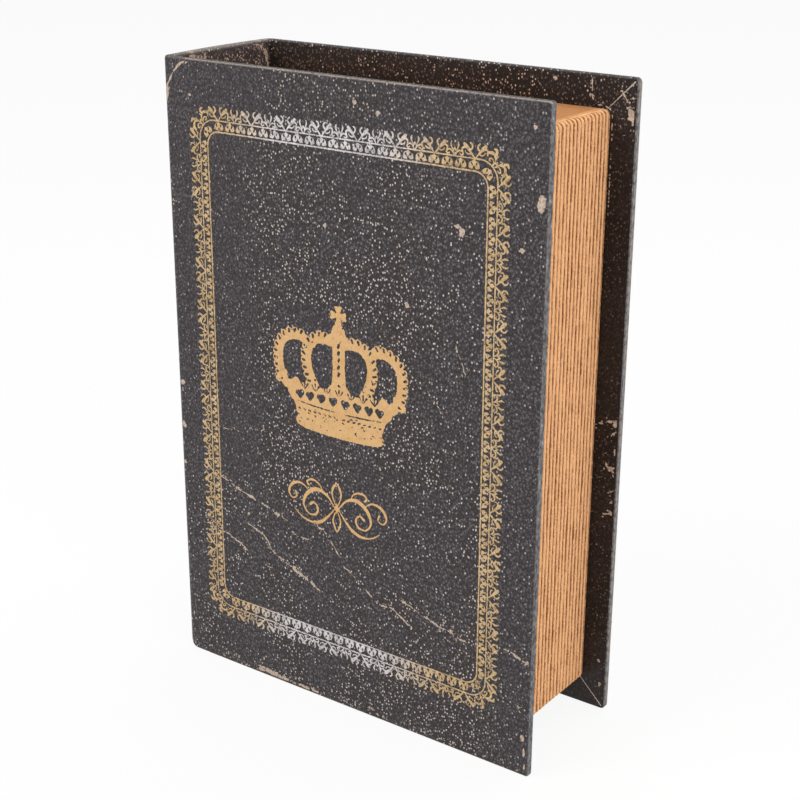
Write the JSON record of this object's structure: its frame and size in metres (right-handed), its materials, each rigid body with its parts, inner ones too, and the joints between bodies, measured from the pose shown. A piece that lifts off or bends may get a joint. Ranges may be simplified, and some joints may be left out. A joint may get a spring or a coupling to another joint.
{
  "type": "book box",
  "caption": "Book-shaped keepsake box: a hinged front cover closes on a tray with page-like grooved walls between two overhanging covers and a bowed spine.",
  "frame": {"origin": "bottom centre of the closed box, on the surface that the covers' tail edges stand on", "axes": "+X from the spine to the fore-edge, +Y from the front cover to the back cover, +Z from the tail up to the head"},
  "size_m": [0.2055, 0.074, 0.3],
  "materials": {
    "leatherette": "satin printed grain",
    "greyboard": "matt",
    "page_fibreboard": "matt, milled",
    "lining_paper": "matt",
    "joint_cloth": "matt",
    "steel": "plain",
    "magnet": "nickel plated"
  },
  "bodies": {
    "case": {"front_joint": "leatherette", "joint_cloth": "joint_cloth", "spine_board": "greyboard", "spine_wrap": "leatherette", "spine_lining": "lining_paper", "back_joint": "leatherette", "back_board": "greyboard", "back_wrap": "leatherette", "back_lining": "lining_paper", "head_wall": "page_fibreboard", "tail_wall": "page_fibreboard", "fore_edge_wall": "page_fibreboard", "spine_wall": "page_fibreboard", "tray_floor": "greyboard", "floor_lining": "lining_paper", "wall_lining": "lining_paper", "closure_magnets": "magnet"},
    "front_cover": {"front_board": "greyboard", "front_wrap": "leatherette", "front_pastedown": "lining_paper", "closure_discs": "steel"}
  },
  "joints": [
    {"name": "front_cover_hinge", "type": "hinge", "parent": "case", "child": "front_cover", "pos_m": [-0.0893, -0.0374, 0.15], "axis": [0, 0, -1], "range_deg": [0, 180], "deforming": ["front_joint", "joint_cloth"]}
  ]
}
